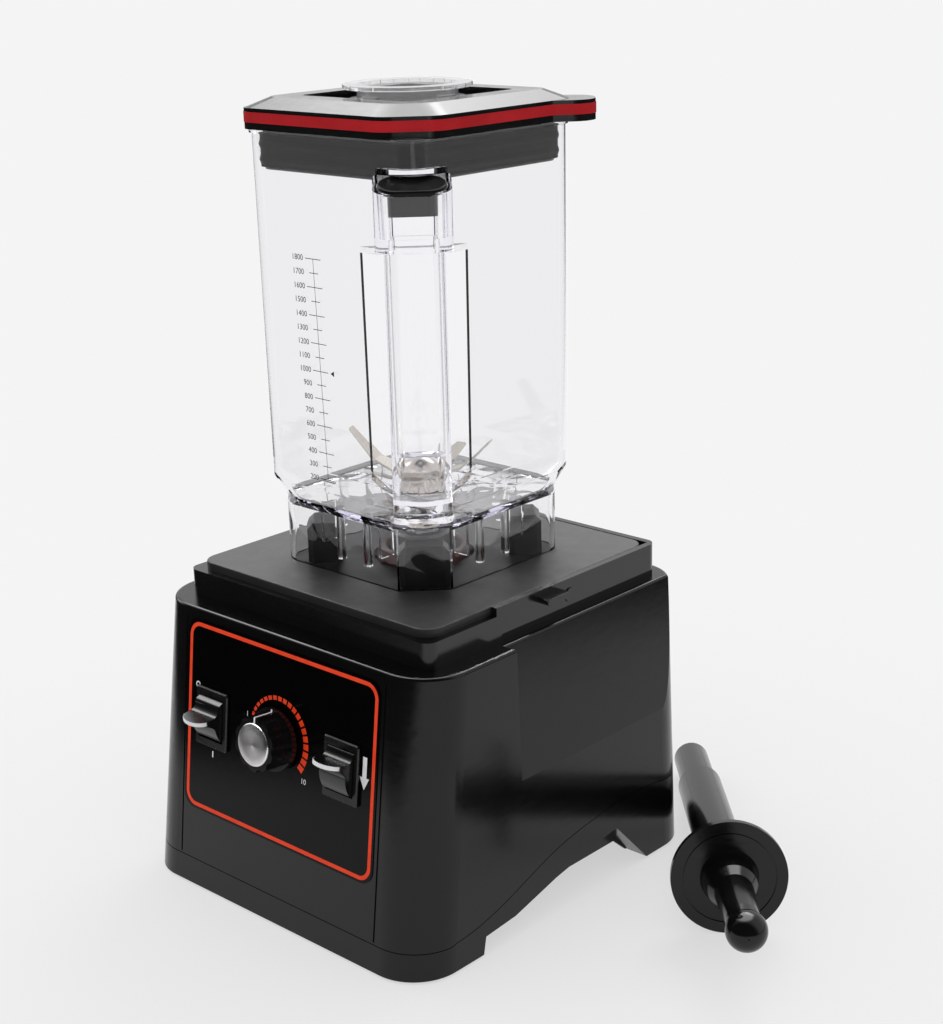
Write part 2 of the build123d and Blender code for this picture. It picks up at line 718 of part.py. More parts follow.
with BuildPart() as drive_socket:
    with BuildSketch(Plane.XY.offset(socket_z0)):
        Circle(17.0)
    extrude(amount=socket_z1 - socket_z0)
    with BuildSketch(Plane.XY.offset(socket_z0)):
        Circle(shaft_r + press_fit)
    extrude(amount=drive_z - socket_z0, mode=Mode.SUBTRACT)
    with BuildSketch(Plane.XY.offset(drive_z)):
        RegularPolygon(11.4, 6)
        with PolarLocations(11.4, 6):
            Circle(1.7)
    extrude(amount=14, mode=Mode.SUBTRACT)
    chamfer(drive_socket.faces().sort_by(Axis.Z)[-1].outer_wire().edges(), length=1.5)

# -------------------------------------------------------------------------- jar
seat_r = 13.0              # bearing seat in the floor
floor_in = 34.0            # half size of the flat middle of the floor
floor_rise = 1.2           # the floor rises this much to the walls
floor_r, cove_r = 30.0, 11.0           # plan corners of the floor and of the walls above it
cove_z = bowl_z + 13.0     # the corner coves end here
jar_floor_t = 4.0


def square(half, r, z):
    with BuildSketch(Plane.XY.offset(z)) as s:
        RectangleRounded(2 * half, 2 * half, r)
    return s.sketch


def corner_block(d, z0, z1, wide=140):
    """Block beyond distance d on the handle diagonal, between two heights."""
    with BuildPart() as block:
        with Locations(turn(d + 30, 0, (z0 + z1) / 2)):
            Box(60, wide, z1 - z0)
    return block.part


collar_in = collar_half - jar_wall
with BuildPart() as jar_under:
    with BuildSketch(Plane.XY.offset(mat_z - 1)):
        RectangleRounded(2 * collar_in, 2 * collar_in, cove_r)
    extrude(amount=bowl_z - jar_floor_t - mat_z + 1)
    add(corner_block(diag_collar - jar_wall, mat_z - 20, bowl_z), mode=Mode.SUBTRACT)

with BuildPart() as jar_void:
    loft([square(floor_in, 9, bowl_z), square(jar_half_bot - jar_wall, floor_r, bowl_z + floor_rise)])
    loft([square(jar_half_bot - jar_wall, floor_r, bowl_z + floor_rise),
          square(jar_half_bot - jar_wall, cove_r, cove_z)])
    loft([square(jar_half_bot - jar_wall, cove_r, cove_z),
          square(jar_half_top - jar_wall, cove_r, jar_top + 1)])
    add(corner_block(diag_lo - jar_wall, bowl_z - 20, step_z + jar_wall), mode=Mode.SUBTRACT)
    add(corner_block(diag_hi - jar_wall, step_z, neck_z + jar_wall), mode=Mode.SUBTRACT)

cut_r = 36.7               # arched foot of the finger recess
cut_z = bowl_z + 17.0 + cut_r
grip_d, grip_deep, grip_wide = corner_d - 5.75, 18.0, 33.0
head_d, head_deep, head_wide = corner_d - 9.75, 26.0, 42.0
tube_wall = 3.0
plug_deep, plug_wide, plug_t = 20.5, 37.0, 3.0
plug_rim = 1.5             # clear rim round the plug
socket_d = head_d + 2.0    # oval mouth of the handle, takes the plug
socket_deep, socket_wide, socket_r = 16.5, 32.0, 8.2
mouth_z = neck_z - 32.0
plug_drop = 18.0           # slope of the handle top in degrees
plug_top = Plane(
    origin=diag(corner_d - 6.75, 0, neck_z - 6.1),
    x_dir=diag(cos(radians(plug_drop)), 0, -sin(radians(plug_drop))),
    z_dir=diag(sin(radians(plug_drop)), 0, cos(radians(plug_drop))),
)

with BuildPart() as grip_form:
    with BuildSketch(Plane.XY.offset(grip_z0)):
        with Locations(turn(grip_d, 0, 0)):
            RectangleRounded(grip_deep, grip_wide, 8)
    extrude(amount=neck_z + 4 - grip_z0)
    with BuildSketch(Plane.XY.offset(step_z + 4)):
        with Locations(turn(head_d, 0, 0)):
            RectangleRounded(head_deep, head_wide, 7)
    extrude(amount=neck_z + 4 - step_z - 4)
    with BuildSketch(Plane.XY.offset(grip_z0 - 6)):
        with Locations(turn(corner_d - 10.75, 0, 0)):
            RectangleRounded(26, grip_wide, 6)
    extrude(amount=8)
    with BuildSketch(plug_top.offset(plug_rim)):
        Rectangle(120, 120)
    extrude(amount=40, mode=Mode.SUBTRACT)
    with BuildSketch(plug_top):
        RectangleRounded(plug_deep + 2 * body_gap, plug_wide + 2 * body_gap, plug_deep / 2)
    extrude(amount=10, mode=Mode.SUBTRACT)

with BuildPart() as jar:
    loft([square(jar_half_bot, jar_r, cove_z - 1), square(jar_half_top, jar_r, jar_top - 2)])
    loft([square(jar_half_bot, floor_r + jar_wall, shoulder_z), square(jar_half_bot, jar_r, cove_z - 1)])
    loft([square(collar_half, jar_r, collar_z),
          square(jar_half_bot, floor_r + jar_wall, shoulder_z)])
    with BuildSketch(Plane.XY.offset(mat_z)):
        RectangleRounded(2 * collar_half, 2 * collar_half, jar_r)
    extrude(amount=collar_z - mat_z)
    with BuildSketch(Plane.XY.offset(jar_top - 2)):
        RectangleRounded(2 * jar_half_top + 3.2, 2 * jar_half_top + 3.2, jar_r + 1.6)
    extrude(amount=2)
    # corner cuts: collar, finger recess with an arched foot, narrow neck above
    add(corner_block(diag_collar, mat_z - 5, shoulder_z), mode=Mode.SUBTRACT)
    add(corner_block(diag_lo, cut_z, step_z, 2 * cut_r), mode=Mode.SUBTRACT)
    with Locations(turn(diag_lo + 30, 0, cut_z) * Location((0, 0, 0), (0, 90, 0))):
        Cylinder(cut_r, 60, mode=Mode.SUBTRACT)
    add(corner_block(diag_hi, step_z, neck_z), mode=Mode.SUBTRACT)
    add(grip_form.part)
    add(jar_void.part, mode=Mode.SUBTRACT)
    add(jar_under.part, mode=Mode.SUBTRACT)
    # hollow of the handle with a wide oval mouth for the plug
    with BuildSketch(Plane.XY.offset(grip_z0 + 32)):
        with Locations(turn(grip_d, 0, 0)):
            RectangleRounded(grip_deep - 2 * tube_wall, grip_wide - 2 * tube_wall, 5)
    extrude(amount=mouth_z - grip_z0 - 31.5, mode=Mode.SUBTRACT)
    with BuildSketch(Plane.XY.offset(mouth_z)):
        with Locations(turn(socket_d, 0, 0)):
            RectangleRounded(socket_deep, socket_wide, socket_r)
    extrude(amount=neck_z - 0.5 - mouth_z, mode=Mode.SUBTRACT)
    # bearing seat through the floor
    with BuildSketch(Plane.XY.offset(bowl_z - 6)):
        Circle(seat_r)
    extrude(amount=10, mode=Mode.SUBTRACT)
    # stiffening fins and pins inside the collar
    with BuildSketch(Plane.XY.offset(bowl_z - 24)):
        for q in range(4):
            with Locations(Location((0, 0, 0), (0, 0, 90 * q))):
                with Locations((24, 7.5 - collar_half), (-24, 7.5 - collar_half)):
                    Rectangle(2.0, 11.0)
    extrude(amount=24)
    with BuildSketch(Plane.XY.offset(bowl_z - 32)):
        for q in range(4):
            with Locations(Location((0, 0, 0), (0, 0, 90 * q))):
                with Locations((11, 5.5 - collar_half), (-11, 5.5 - collar_half)):
                    Circle(2.6)
    extrude(amount=32)

with BuildPart() as handle_plug:
    with BuildSketch(Plane.XY.offset(neck_z - 20)):
        with Locations(turn(socket_d, 0, 0)):
            RectangleRounded(socket_deep - 0.04, socket_wide - 0.04, socket_r - 0.02)
    extrude(amount=20)
    with BuildSketch(plug_top):
        Rectangle(120, 120)
    extrude(amount=40, mode=Mode.SUBTRACT)
    with BuildSketch(plug_top):
        RectangleRounded(plug_deep, plug_wide, plug_deep / 2 - 0.05)
    extrude(amount=plug_t)
    plug_axis = Axis(plug_top.origin, plug_top.z_dir)
    fillet(handle_plug.faces().sort_by(plug_axis)[-1].edges(), radius=1.4)

# ---------------------------------------------------------------- blade assembly
spindle_r = 4.0
spindle_top = blade_z + 5.5
with BuildPart() as blade_housing:
    with BuildSketch(Plane.XY.offset(bowl_z)):
        Circle(19.0)
    extrude(amount=1.6)
    with BuildSketch(Plane.XY.offset(bowl_z - 22)):
        Circle(seat_r - run_fit)
    extrude(amount=22)
    chamfer(blade_housing.faces().sort_by(Axis.Z)[-1].edges(), length=0.6)
    with BuildSketch(Plane.XY.offset(bowl_z - 22)):
        Circle(9.0)
    extrude(amount=20, mode=Mode.SUBTRACT)
    with BuildSketch(Plane.XY.offset(bowl_z - 3)):
        Circle(spindle_r + run_fit)
    extrude(amount=8, mode=Mode.SUBTRACT)

with BuildPart() as jar_bearing:
    with BuildSketch(Plane.XY.offset(bowl_z - 20)):
        Circle(8.95)
        Circle(spindle_r + run_fit, mode=Mode.SUBTRACT)
    extrude(amount=14)
    with BuildSketch(Plane.XY.offset(bowl_z - 20)):
        Circle(7.6)
        Circle(5.4, mode=Mode.SUBTRACT)
    extrude(amount=1.0, mode=Mode.SUBTRACT)

with BuildPart() as retaining_nut:
    with BuildSketch(Plane.XY.offset(bowl_z - 12)):
        RegularPolygon(21, 6)
        Circle(seat_r, mode=Mode.SUBTRACT)
    extrude(amount=8)

with BuildPart() as blade_shaft:
    with BuildSketch(Plane.XY.offset(hub_z)):
        Circle(spindle_r)
    extrude(amount=spindle_top - hub_z)

with BuildPart() as drive_hub:
    with BuildSketch(Plane.XY.offset(hub_z)):
        RegularPolygon(10.9, 6)
        Circle(spindle_r + press_fit, mode=Mode.SUBTRACT)
    extrude(amount=11)
    with BuildSketch(Plane.XY.offset(hub_z + 11)):
        Circle(7.0)
        Circle(spindle_r + press_fit, mode=Mode.SUBTRACT)
    extrude(amount=3)

with BuildPart() as blade_cone:
    with BuildSketch(Plane.XY.offset(bowl_z + 1.9)):
        Circle(12.4)
        with PolarLocations(12.4, 12):
            Circle(1.1, mode=Mode.SUBTRACT)
    extrude(amount=blade_z - bowl_z - 1.9, taper=22)
    with BuildSketch(Plane.XY.offset(bowl_z + 1.9)):
        Circle(spindle_r + press_fit)
    extrude(amount=12, mode=Mode.SUBTRACT)


def blade(tip, z0, turn_deg, reach, width=15.0):
    """Bent strip: flat middle, both ends sweeping up to their tips, sharpened to points."""
    t = 1.5
    flat, knee, knee_up = 0.33 * reach, 0.62 * reach, 0.22 * tip
    rise = [(-reach, tip), (-knee, knee_up), (-flat, 0), (flat, 0), (knee, knee_up), (reach, tip)]
    with BuildPart() as b:
        with BuildSketch(Plane.XZ.offset(-width / 2)):
            with BuildLine():
                Polyline(*[(x, z0 + z) for x, z in rise],
                         *[(x, z0 + z + t) for x, z in reversed(rise)], close=True)
            make_face()
        extrude(amount=width)
        with BuildSketch(Plane.XY.offset(z0 - 40)):
            with BuildLine():
                Polyline(
                    (-reach - 1, -width / 2 + 9), (-flat, -width / 2), (flat, -width / 2 - 1),
                    (reach + 1, -width / 2), (reach + 1, width / 2 - 9), (flat, width / 2),
                    (-flat, width / 2 + 1), (-reach - 1, width / 2), close=True,
                )
            make_face()
        extrude(amount=100, mode=Mode.INTERSECT)
        with BuildSketch(Plane.XY.offset(z0 - 1)):
            Circle(spindle_r + press_fit)
        extrude(amount=4, mode=Mode.SUBTRACT)
    return b.part.rotate(Axis.Z, turn_deg)


with BuildPart() as lower_blade:
    add(blade(9.0, blade_z, -80.0, reach=39.0))

with BuildPart() as upper_blade:
    add(blade(22.0, blade_z + 1.5, 23.0, reach=45.0))

nut_r, nut_rise = 12.0, 7.5
nut_dome = (nut_r**2 + nut_rise**2) / (2 * nut_rise)
nut_z = spindle_top
nut_half = atan2(nut_r, nut_dome - nut_rise) / 2
with BuildPart() as cap_nut:
    with BuildSketch(Plane.XZ):
        with BuildLine():
            Polyline((0, nut_z + nut_rise), (0, blade_z + 3), (nut_r, blade_z + 3), (nut_r, nut_z))
            ThreePointArc(
                (nut_r, nut_z),
                (nut_dome * sin(nut_half), nut_z + nut_rise - nut_dome * (1 - cos(nut_half))),
                (0, nut_z + nut_rise),
            )
        make_face()
    revolve(axis=Axis.Z)
    with BuildSketch(Plane.XY.offset(blade_z + 2)):
        Circle(spindle_r + press_fit)
    extrude(amount=spindle_top + 0.1 - blade_z - 2, mode=Mode.SUBTRACT)

# -------------------------------------------------------------------------- lid
tab_out, tab_w = lid_half + 37.0, 34.0
lid_cut = lid_half * sqrt(2) - 16.1    # cut corner over the handle
lid_soft = 16.0            # rounding of the ends of that cut
plateau_in = 12.0          # the bevel runs in by this much
skirt_z = jar_top - 22.6
skirt_half = jar_half_top - 7.0
skirt_t = 3.5
seal_z = skirt_z + 1.5
seal_half = skirt_half + 2.0
seal_high = 18.5
seal_gap = 0.4             # between the seal and the jar
lobe_high = 5.2
lobe_out = jar_half_bot - jar_wall + 0.9 - seal_gap - seal_half
lobe_deg = degrees(atan2(lobe_out, lobe_high / 2))
neck_in = diag_hi - jar_wall - 0.6     # the skirt clears the neck over the handle by this


def cut_square(half, r, cut_d, z):
    """Rounded square with the corner over the handle cut off, its two ends softly rounded."""
    far = cut_d * sqrt(2) - half
    with BuildSketch(Plane.XY.offset(z)) as s:
        with BuildLine():
            Polyline((half, -far), (half, half), (-half, half), (-half, -half), (far, -half), close=True)
        make_face()
        fillet(s.vertices().sort_by_distance((0, 0, z))[:2], radius=lid_soft)
        fillet(s.vertices().sort_by_distance((0, 0, z))[-3:], radius=r)
    return s.sketch


def lid_outline(grow, z):
    """Outline of the lid with its pouring tab, larger all round by grow."""
    with BuildSketch(Plane.XY.offset(z)) as s:
        add(cut_square(lid_half + grow, 12 + grow, lid_cut + grow, z))
        with Locations(turn((tab_out + grow + 60) / 2, 0, 0, 45.0)):
            RectangleRounded(tab_out + grow - 60, tab_w + 2 * grow, 14)
    return s.sketch


band_z0, band_z1 = lid_z1 - 8.0, lid_z1 - 2.1
band_deep = 1.4
with BuildPart() as lid:
    with BuildSketch(Plane.XY.offset(jar_top)):
        add(lid_outline(0, jar_top))
    extrude(amount=lid_z1 - jar_top)
    # bevelled plateau
    loft([cut_square(lid_half - 0.5, 12, lid_cut - 0.3, lid_z1),
          cut_square(lid_half - plateau_in, 9, lid_cut - plateau_in, lid_top)])
    # pocket in the plateau
    with BuildSketch(Plane.XY.offset(lid_z1 - 1)):
        RectangleRounded(2 * lid_half - 52, 2 * lid_half - 52, 5)
    extrude(amount=lid_top - lid_z1 + 6, mode=Mode.SUBTRACT)
    # collar round the filling hole
    with BuildSketch(Plane.XY.offset(lid_z1 - 3)):
        Circle(cap_r + 4.3)
    extrude(amount=6)
    # skirt that carries the seal
    with BuildSketch(Plane.XY.offset(skirt_z)):
        RectangleRounded(2 * skirt_half, 2 * skirt_half, 9)
    extrude(amount=jar_top - skirt_z)
    with BuildSketch(Plane.XY.offset(skirt_z - 1)):
        RectangleRounded(2 * (skirt_half - skirt_t), 2 * (skirt_half - skirt_t), 6)
    extrude(amount=lid_z1 - 4 - skirt_z + 1, mode=Mode.SUBTRACT)
    with BuildSketch(Plane.XY.offset(jar_top)):
        Circle(cap_r + body_gap)
    extrude(amount=20, mode=Mode.SUBTRACT)
    add(corner_block(neck_in, skirt_z - 10, neck_z + jar_wall + 0.6), mode=Mode.SUBTRACT)
    # groove for the coloured band
    with BuildSketch(Plane.XY.offset(band_z0)):
        add(lid_outline(2, band_z0))
        add(lid_outline(-band_deep, band_z0), mode=Mode.SUBTRACT)
    extrude(amount=band_z1 - band_z0, mode=Mode.SUBTRACT)

with BuildPart() as lid_band:
    with BuildSketch(Plane.XY.offset(band_z0)):
        add(lid_outline(0.3, band_z0))
        add(lid_outline(-band_deep, band_z0), mode=Mode.SUBTRACT)
    extrude(amount=band_z1 - band_z0)

with BuildPart() as lid_gasket:
    with BuildSketch(Plane.XY.offset(seal_z)):
        RectangleRounded(2 * seal_half, 2 * seal_half, 10)
    extrude(amount=seal_high)
    for z0 in (seal_z + 1.5, seal_z + 10.1):
        with BuildSketch(Plane.XY.offset(z0)):
            RectangleRounded(2 * seal_half, 2 * seal_half, 10)
        extrude(amount=lobe_high / 2, taper=-lobe_deg)
        with BuildSketch(Plane.XY.offset(z0 + lobe_high)):
            RectangleRounded(2 * seal_half, 2 * seal_half, 10)
        extrude(amount=-lobe_high / 2, taper=-lobe_deg)
    with BuildSketch(Plane.XY.offset(skirt_z)):
        RectangleRounded(2 * skirt_half, 2 * skirt_half, 9)
    extrude(amount=24, mode=Mode.SUBTRACT)
    add(corner_block(neck_in, skirt_z - 10, neck_z + jar_wall + 0.6), mode=Mode.SUBTRACT)

cap_z0, cap_z1 = jar_top - 5.6, lid_top + 5.4
with BuildPart() as fill_cap:
    with BuildSketch(Plane.XY.offset(cap_z0)):
        Circle(cap_r)
    extrude(amount=cap_z1 - 1.4 - cap_z0)
    with BuildSketch(Plane.XY.offset(cap_z1 - 2.2)):
        Circle(cap_r + 8.2)
        with PolarLocations(cap_r + 9.3, 24):
            Circle(1.7, mode=Mode.SUBTRACT)
    extrude(amount=2.2)
    # lugs that rest on the collar of the lid
    with BuildSketch(Plane.XY.offset(lid_z1 + 3)):
        Rectangle(2 * cap_r + 5.6, 12)
        Rectangle(12, 2 * cap_r + 5.6)
    extrude(amount=2.0)
    with BuildSketch(Plane.XY.offset(cap_z0 + 2)):
        Circle(cap_r - 2)
    extrude(amount=cap_z1 - cap_z0, mode=Mode.SUBTRACT)

# ----------------------------------------------------------------------- tamper
tamper_dir = Vector(0.66637, -0.73772, 0.10822).normalized()
disc_c = Vector(206.8, 30.7, 33.85)
tamper_x = Vector(0.73772, 0.66637, 0).normalized()


def along(s):
    return Plane(origin=disc_c + tamper_dir * s, x_dir=tamper_x, z_dir=tamper_dir)


with BuildPart() as tamper_rod:
    with BuildSketch(along(-206)):
        Circle(11.4)
    extrude(amount=56)
    with BuildSketch(along(-150)):
        Circle(14.0)
    extrude(amount=148.5)
    fillet(tamper_rod.faces().sort_by(Axis.Y)[-1].edges(), radius=2.5)

with BuildPart() as tamper_disc:
    with BuildSketch(along(-1.5)):
        Circle(33.8)
    extrude(amount=4)
    with BuildSketch(along(1.7)):
        Circle(27.4)
        Circle(26.4, mode=Mode.SUBTRACT)
    extrude(amount=1, mode=Mode.SUBTRACT)

ball_s, ball_r, neck_s = 72.0, 11.6, 64.5
neck_r = sqrt(ball_r**2 - (ball_s - neck_s) ** 2)
with BuildPart() as tamper_grip:
    with BuildSketch(Plane(origin=disc_c + tamper_dir * 2.5, x_dir=tamper_dir, z_dir=tamper_x)):
        with BuildLine():
            Polyline((ball_s + ball_r, 0), (0, 0), (0, 17), (3, 16), (16, 14.4), (22, 11.4),
                     (58, 9.6), (neck_s, neck_r))
            ThreePointArc((neck_s, neck_r), (ball_s, ball_r), (ball_s + ball_r, 0))
        make_face()
    revolve(axis=Axis(disc_c, tamper_dir))

# ----------------------------------------------------------------------- export
parts = {
    "housing_shell": housing_shell, "bottom_pan": bottom_pan, "pan_screws": pan_screws,
    "top_cover": top_cover, "top_mat": top_mat, "drip_ring": drip_ring,
    "control_label": control_label, "knob_body": knob_body, "knob_cap": knob_cap,
    "speed_pot": speed_pot, "pot_shaft": pot_shaft, "control_board": control_board,
    "heat_sink": heat_sink, "breaker": breaker, "reset_button": reset_button,
    "cord_gland": cord_gland, "mounting_plate": mounting_plate,
    "upper_bracket": upper_bracket, "lower_bracket": lower_bracket,
    "isolators": isolators, "stator_core": stator_core, "field_coils": field_coils, "brushes": brushes,
    "motor_shaft": motor_shaft, "armature": armature, "commutator": commutator,
    "cooling_fan": cooling_fan, "drive_socket": drive_socket,
    "jar": jar, "handle_plug": handle_plug, "blade_housing": blade_housing,
    "jar_bearing": jar_bearing, "retaining_nut": retaining_nut, "blade_shaft": blade_shaft,
    "drive_hub": drive_hub, "blade_cone": blade_cone, "lower_blade": lower_blade,
    "upper_blade": upper_blade, "cap_nut": cap_nut,
    "lid": lid, "lid_band": lid_band, "lid_gasket": lid_gasket, "fill_cap": fill_cap,
    "tamper_rod": tamper_rod, "tamper_disc": tamper_disc, "tamper_grip": tamper_grip,
}
for group in (feet, posts, switches, paddles, bearings):
    parts.update(dict(group))

for name, built in parts.items():
    built.part.label = name
    export_step(built.part, "parts/%s.step" % name)
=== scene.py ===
"""Looks of the countertop blender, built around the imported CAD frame. Metres, Z up, front -Y."""
import math

import bmesh
import bpy
from mathutils import Matrix, Vector


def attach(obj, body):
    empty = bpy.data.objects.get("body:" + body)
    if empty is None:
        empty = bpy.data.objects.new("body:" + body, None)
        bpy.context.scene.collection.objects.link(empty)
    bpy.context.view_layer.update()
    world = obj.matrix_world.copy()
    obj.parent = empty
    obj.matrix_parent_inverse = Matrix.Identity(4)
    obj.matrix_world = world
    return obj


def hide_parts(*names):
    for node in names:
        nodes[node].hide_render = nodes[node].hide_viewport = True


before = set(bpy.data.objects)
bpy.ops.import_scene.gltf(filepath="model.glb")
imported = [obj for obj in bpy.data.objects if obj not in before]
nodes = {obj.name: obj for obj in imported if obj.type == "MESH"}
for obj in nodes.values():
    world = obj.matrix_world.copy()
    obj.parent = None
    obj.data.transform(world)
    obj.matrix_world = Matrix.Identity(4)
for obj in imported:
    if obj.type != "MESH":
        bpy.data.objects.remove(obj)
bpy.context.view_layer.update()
MM = 0.001
SHARP = math.radians(24)        # edges steeper than this stay sharp


# ------------------------------------------------------------------ mesh helpers
def new_object(name, data):
    o = bpy.data.objects.new(name, data)
    bpy.context.scene.collection.objects.link(o)
    return o


def new_mesh(name, bm):
    me = bpy.data.meshes.new(name)
    bm.to_mesh(me)
    bm.free()
    return me


def mesh_object(name, bm):
    return new_object(name, new_mesh(name, bm))


def skin(bm, rows):
    """Close a body over rows of vertices: sides between neighbouring rows, a face on each end."""
    for r0, r1 in zip(rows, rows[1:]):
        for k in range(len(r0)):
            j = (k + 1) % len(r0)
            bm.faces.new((r0[k], r0[j], r1[j], r1[k]))
    bm.faces.new(rows[0][::-1])
    bm.faces.new(rows[-1])
    bmesh.ops.recalc_face_normals(bm, faces=bm.faces)


def smooth(me):
    for p in me.polygons:
        p.use_smooth = True
    me.set_sharp_from_angle(angle=SHARP)


# ------------------------------------------------------------------ node helpers
class Mat:
    """A Principled material with short calls for the procedural detail on it."""

    def __init__(self, name, color, rough, **sockets):
        self.m = bpy.data.materials.new(name)
        self.m.use_nodes = True
        self.n, self.l = self.m.node_tree.nodes, self.m.node_tree.links
        self.b = self.n["Principled BSDF"]
        self.b.inputs["Base Color"].default_value = (*color, 1)
        self.b.inputs["Roughness"].default_value = rough
        for k, v in sockets.items():
            self.b.inputs[k.replace("_", " ")].default_value = v
        self.coord = self.n.new("ShaderNodeTexCoord").outputs["Object"]
        self.normal = None

    def node(self, kind, **props):
        x = self.n.new(kind)
        for k, v in props.items():
            setattr(x, k, v)
        return x

    def mapping(self, scale=(1, 1, 1), rot=(0, 0, 0), loc=(0, 0, 0)):
        x = self.node("ShaderNodeMapping")
        x.inputs["Scale"].default_value = scale
        x.inputs["Rotation"].default_value = rot
        x.inputs["Location"].default_value = loc
        self.l.new(self.coord, x.inputs["Vector"])
        return x.outputs["Vector"]

    def noise(self, scale, detail=3.0, rough=0.5, vec=None, distort=0.0):
        x = self.node("ShaderNodeTexNoise")
        x.inputs["Scale"].default_value = scale
        x.inputs["Detail"].default_value = detail
        x.inputs["Roughness"].default_value = rough
        x.inputs["Distortion"].default_value = distort
        self.l.new(vec or self.coord, x.inputs["Vector"])
        return x.outputs["Fac"]

    def ramp(self, fac, stops):
        x = self.node("ShaderNodeValToRGB")
        e = x.color_ramp.elements
        while len(e) < len(stops):
            e.new(0.5)
        for i, (p, c) in enumerate(stops):
            e[i].position = p
            e[i].color = (*c, 1) if hasattr(c, "__len__") else (c, c, c, 1)
        self.l.new(fac, x.inputs["Fac"])
        return x.outputs["Color"]

    def range(self, fac, lo, hi, a=0.0, b=1.0):
        x = self.node("ShaderNodeMapRange")
        for k, v in zip(("From Min", "From Max", "To Min", "To Max"), (a, b, lo, hi)):
            x.inputs[k].default_value = v
        self.l.new(fac, x.inputs["Value"])
        return x.outputs["Result"]

    def color(self, fac, stops):
        self.l.new(self.ramp(fac, stops), self.b.inputs["Base Color"])

    def rough(self, fac, lo, hi, a=0.3, b=0.7):
        self.l.new(self.range(fac, lo, hi, a, b), self.b.inputs["Roughness"])

    def bump(self, fac, strength, distance):
        x = self.node("ShaderNodeBump")
        x.inputs["Strength"].default_value = strength
        x.inputs["Distance"].default_value = distance
        self.l.new(fac, x.inputs["Height"])
        if self.normal is not None:
            self.l.new(self.normal, x.inputs["Normal"])
        self.normal = x.outputs["Normal"]
        self.l.new(self.normal, self.b.inputs["Normal"])


def gloss_black(name, base, rough, spec=0.5, wear=1.0):
    """Gloss moulded black: orange peel, faint wiping marks, a little uneven sheen."""
    m = Mat(name, (base, base, base * 1.05), rough, Specular_IOR_Level=spec)
    cloud = m.noise(14.0, 4.0, 0.55)
    m.color(cloud, [(0.3, (base * 0.8, base * 0.8, base * 0.84)),
                    (0.7, (base * 1.3, base * 1.3, base * 1.36))])
    wipe = m.noise(55.0, 6.0, 0.7, m.mapping((1.0, 1.0, 9.0), (0.3, 0.5, 0.2)), 0.6)
    m.rough(wipe, rough * 0.75, rough * (1.0 + 0.7 * wear), 0.35, 0.75)
    m.bump(m.noise(160.0, 2.0, 0.5), 0.05, 0.0006)
    m.bump(wipe, 0.03 * wear, 0.0003)
    return m


def rubber(name, base, rough, grain=1400.0, tint=(1.0, 1.06, 1.02), spec=0.4):
    m = Mat(name, tuple(base * t for t in tint), rough, Specular_IOR_Level=spec)
    cloud = m.noise(22.0, 5.0, 0.6)
    m.color(cloud, [(0.32, tuple(base * 0.82 * t for t in tint)),
                    (0.70, tuple(base * 1.22 * t for t in tint))])
    m.rough(m.noise(70.0, 4.0, 0.6), rough * 0.86, rough * 1.12)
    m.bump(m.noise(grain, 2.0, 0.6), 0.22, 0.0002)
    return m


def metal(name, color, rough, stretch=(1, 1, 40), scale=90.0, strength=0.10, aniso=0.0):
    m = Mat(name, color, rough, Metallic=1.0, Anisotropic=aniso)
    cloud = m.noise(30.0, 4.0, 0.6)
    m.color(cloud, [(0.3, tuple(c * 0.88 for c in color)),
                    (0.7, tuple(min(1.0, c * 1.06) for c in color))])
    lines = m.noise(scale, 5.0, 0.7, m.mapping(stretch))
    m.rough(lines, rough * 0.75, rough * 1.3)
    m.bump(lines, strength, 0.0002)
    return m


def clear(name, tint, density, rough=0.012, wobble=0.02):
    """Clear moulded plastic with a body tint that shows only in long paths."""
    m = Mat(name, (1, 1, 1), rough, IOR=1.49, Transmission_Weight=1.0)
    m.rough(m.noise(60.0, 4.0, 0.6), rough * 0.5, rough * 1.8)
    m.bump(m.noise(18.0, 2.0, 0.4), wobble, 0.0012)
    vol = m.node("ShaderNodeVolumeAbsorption")
    vol.inputs["Color"].default_value = (*tint, 1)
    vol.inputs["Density"].default_value = density
    m.l.new(vol.outputs["Volume"], m.n["Material Output"].inputs["Volume"])
    return m


def assign(m, *names):
    for name in names:
        o = nodes[name]
        if o.data.materials:
            o.data.materials[0] = m.m
        else:
            o.data.materials.append(m.m)


# -------------------------------------------------------------------- materials
housing = gloss_black("housing_gloss", 0.0035, 0.19, 0.33, 0.25)
cover = gloss_black("cover_gloss", 0.006, 0.18, wear=0.3)
panel = gloss_black("panel_gloss", 0.0015, 0.12, 0.12, 0.5)
switch = gloss_black("switch_gloss", 0.005, 0.22)
paddle = gloss_black("paddle_gloss", 0.006, 0.24, wear=0.15)
knob = gloss_black("knob_gloss", 0.004, 0.26, 0.4, 0.1)
lid_black = gloss_black("lid_gloss", 0.006, 0.14)
tamper = gloss_black("tamper_gloss", 0.004, 0.15, 0.35)
mat_top = rubber("mat_satin", 0.020, 0.44)
post = gloss_black("post_satin", 0.004, 0.42, 0.25, 0.3)
foot = rubber("foot_matt", 0.018, 0.70)
plug = rubber("plug_satin", 0.004, 0.36, spec=0.15)
gasket = rubber("gasket_satin", 0.006, 0.5, tint=(1.35, 1.0, 0.75), spec=0.06)
jar_clear = clear("jar_clear_plastic", (0.50, 0.40, 0.92), 3.0)
height = jar_clear.node("ShaderNodeSeparateXYZ")
jar_clear.l.new(jar_clear.coord, height.inputs[0])
ripple = jar_clear.noise(26.0, 1.0, 0.5, None, 0.6)
swirl = jar_clear.node("ShaderNodeMath", operation="MULTIPLY")
jar_clear.l.new(ripple, swirl.inputs[0])
jar_clear.l.new(jar_clear.range(height.outputs["Z"], 1.0, 0.0, 0.246, 0.258), swirl.inputs[1])
jar_clear.bump(swirl.outputs[0], 0.45, 0.004)
